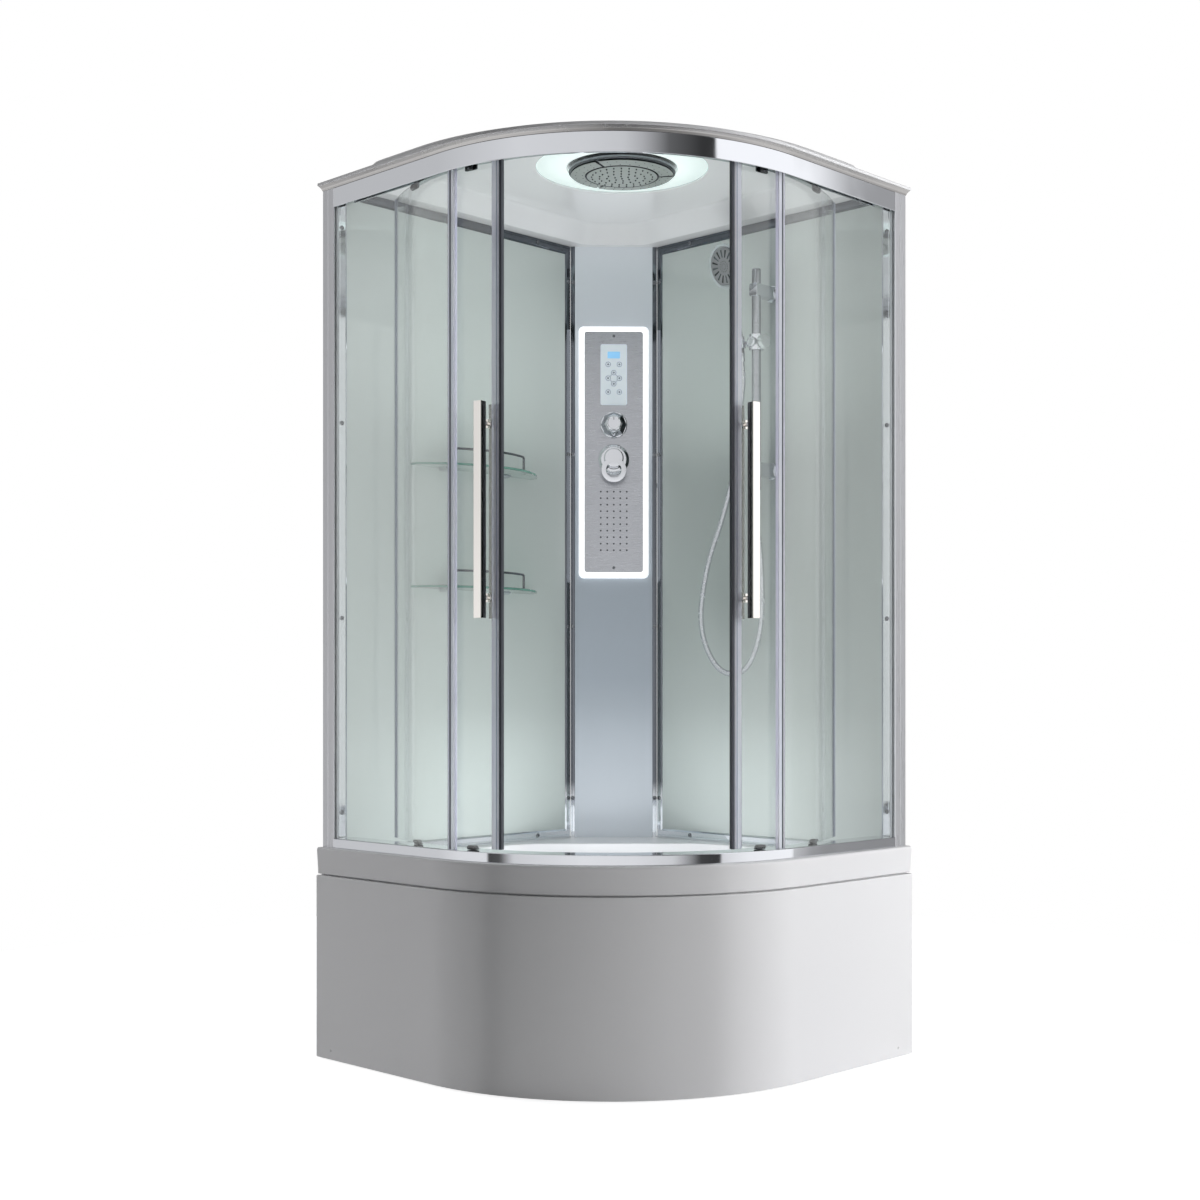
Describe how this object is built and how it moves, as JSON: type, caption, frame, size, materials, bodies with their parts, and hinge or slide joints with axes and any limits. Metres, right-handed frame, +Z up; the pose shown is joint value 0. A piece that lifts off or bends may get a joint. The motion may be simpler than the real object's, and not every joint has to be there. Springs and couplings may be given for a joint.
{
  "type": "shower cabin",
  "caption": "Quadrant corner shower cabin on a deep tray, with curved sliding doors, wall glass, shower column, hand shower and lit roof.",
  "frame": {"origin": "on the floor under the middle of the square plan", "axes": "+Z up; the room corner is at -X +Y; the curved front faces +X -Y"},
  "size_m": [1, 1, 2.15],
  "materials": {
    "white_acrylic": "glossy sanitary acrylic",
    "chrome_profile": "bright anodised profile",
    "satin_profile": "satin anodised",
    "clear_glass": "clear toughened glass",
    "painted_glass": "back-painted toughened glass, pale green grey",
    "shelf_glass": "clear glass with green edges",
    "soft_seal": "translucent strip",
    "handle_chrome": "polished square bar",
    "fitting_chrome": "polished",
    "grey_rubber": "soft nozzles and grips",
    "roller_plastic": "hard nylon",
    "column_panel": "pale satin sheet",
    "brushed_plate": "fine brushed",
    "light_diffuser": "frosted light guide",
    "keypad_film": "glossy touch film",
    "braided_hose": "silver reinforced hose",
    "galvanised_steel": "galvanised tube",
    "grey_plastic": "moulded",
    "black_plastic": "moulded",
    "valve_brass": "cast and machined",
    "pipe_steel": "stainless pipe"
  },
  "bodies": {
    "cabin": {"apron_panel": "white_acrylic", "bar_brackets": "fitting_chrome", "bottom_rail": "chrome_profile", "canopy": "white_acrylic", "ceiling_light": "light_diffuser", "column_strips": "chrome_profile", "control_plate": "brushed_plate", "control_valve": "valve_brass", "corner_panel": "column_panel", "drain_trap": "grey_plastic", "fixed_glass_seals": "soft_seal", "hose_drop": "braided_hose", "hose_mid": "braided_hose", "hose_rise": "braided_hose", "hose_top": "braided_hose", "keypad": "keypad_film", "led_frame": "light_diffuser", "left_fixed_glass": "clear_glass", "left_post": "satin_profile", "left_wall_frame": "chrome_profile", "left_wall_glass": "painted_glass", "levelling_feet": "galvanised_steel", "mixer_escutcheon": "fitting_chrome", "nozzle_plate": "grey_rubber", "overhead_shower": "fitting_chrome", "power_box": "grey_plastic", "right_fixed_glass": "clear_glass", "right_post": "satin_profile", "right_wall_frame": "chrome_profile", "right_wall_glass": "painted_glass", "screw_caps": "fitting_chrome", "shelf_fittings": "fitting_chrome", "shelf_glasses": "shelf_glass", "slide_bar": "fitting_chrome", "speaker": "black_plastic", "top_rail": "chrome_profile", "tray_frame": "galvanised_steel", "tray_shell": "white_acrylic", "water_pipes": "pipe_steel"},
    "left_door": {"left_door_glass": "clear_glass", "left_door_profiles": "soft_seal", "left_door_handle": "handle_chrome", "left_door_hangers": "roller_plastic"},
    "right_door": {"right_door_glass": "clear_glass", "right_door_profiles": "soft_seal", "right_door_handle": "handle_chrome", "right_door_hangers": "roller_plastic"},
    "left_front_wheel": {"left_front_wheel": "roller_plastic"},
    "left_rear_wheel": {"left_rear_wheel": "roller_plastic"},
    "right_front_wheel": {"right_front_wheel": "roller_plastic"},
    "right_rear_wheel": {"right_rear_wheel": "roller_plastic"},
    "drain_cover": {"drain_cover": "fitting_chrome"},
    "diverter": {"diverter_knob": "fitting_chrome"},
    "cartridge": {"mixer_cartridge": "fitting_chrome"},
    "lever": {"mixer_lever": "fitting_chrome"},
    "slider": {"slider_body": "fitting_chrome"},
    "slider_clamp": {"slider_knob": "grey_rubber"},
    "holder": {"shower_holder": "fitting_chrome"},
    "handset": {"shower_handset": "fitting_chrome"},
    "dial": {"spray_dial": "grey_rubber"}
  },
  "joints": [
    {"name": "left_door_slide", "type": "hinge", "parent": "cabin", "child": "left_door", "pos_m": [-0.075, 0.075, 0], "axis": [0, 0, 1], "range_deg": [0, 27.5]},
    {"name": "right_door_slide", "type": "hinge", "parent": "cabin", "child": "right_door", "pos_m": [-0.075, 0.075, 0], "axis": [0, 0, -1], "range_deg": [0, 27.5]},
    {"name": "left_front_wheel_spin", "type": "hinge", "parent": "left_door", "child": "left_front_wheel", "pos_m": [-0.00112, -0.4377, 2.0243], "axis": [0.1426, -0.9898, 0], "range_deg": [-1590, 0]},
    {"name": "left_rear_wheel_spin", "type": "hinge", "parent": "left_door", "child": "left_rear_wheel", "pos_m": [-0.19592, -0.42869, 2.0243], "axis": [-0.2334, -0.9724, 0], "range_deg": [-1590, 0]},
    {"name": "right_front_wheel_spin", "type": "hinge", "parent": "right_door", "child": "right_front_wheel", "pos_m": [0.4377, 0.00112, 2.0243], "axis": [0.9898, -0.1426, 0], "range_deg": [0, 1590]},
    {"name": "right_rear_wheel_spin", "type": "hinge", "parent": "right_door", "child": "right_rear_wheel", "pos_m": [0.42869, 0.19592, 2.0243], "axis": [0.9724, 0.2334, 0], "range_deg": [0, 1590]},
    {"name": "drain_cover_lift", "type": "slide", "parent": "cabin", "child": "drain_cover", "axis": [0, 0, 1], "range_m": [0, 0.03]},
    {"name": "diverter_turn", "type": "hinge", "parent": "cabin", "child": "diverter", "pos_m": [-0.388, 0.388, 1.575], "axis": [0.7071, -0.7071, 0], "range_deg": [-135, 135]},
    {"name": "mixer_turn", "type": "hinge", "parent": "cabin", "child": "cartridge", "pos_m": [-0.388, 0.388, 1.482], "axis": [0.7071, -0.7071, 0], "range_deg": [-50, 50]},
    {"name": "lever_lift", "type": "hinge", "parent": "cartridge", "child": "lever", "pos_m": [-0.35653, 0.35653, 1.482], "axis": [-0.7071, -0.7071, 0], "range_deg": [0, 25]},
    {"name": "slider_height", "type": "slide", "parent": "cabin", "child": "slider", "axis": [0, 0, 1], "range_m": [-0.275, 0.09], "deforming": ["hose_drop", "hose_rise"]},
    {"name": "clamp_turn", "type": "hinge", "parent": "slider", "child": "slider_clamp", "pos_m": [0.092, 0.41, 1.735], "axis": [1, 0, 0], "range_deg": [0, 180]},
    {"name": "holder_tilt", "type": "hinge", "parent": "slider", "child": "holder", "pos_m": [0.092, 0.41, 1.735], "axis": [1, 0, 0], "range_deg": [-5, 35], "deforming": ["hose_mid"]},
    {"name": "handset_lift", "type": "slide", "parent": "holder", "child": "handset", "axis": [-0.0854, -0.1079, 0.9905], "range_m": [0, 0.08], "deforming": ["hose_top"]},
    {"name": "spray_turn", "type": "hinge", "parent": "handset", "child": "dial", "pos_m": [0.037, 0.352, 1.925], "axis": [-0.109, -0.957, -0.2689], "range_deg": [0, 120]}
  ],
  "couplings": [
    {"joint": "left_front_wheel_spin", "follows": "left_door_slide", "ratio": -57.556},
    {"joint": "left_rear_wheel_spin", "follows": "left_door_slide", "ratio": -57.556},
    {"joint": "right_front_wheel_spin", "follows": "right_door_slide", "ratio": 57.556},
    {"joint": "right_rear_wheel_spin", "follows": "right_door_slide", "ratio": 57.556}
  ]
}
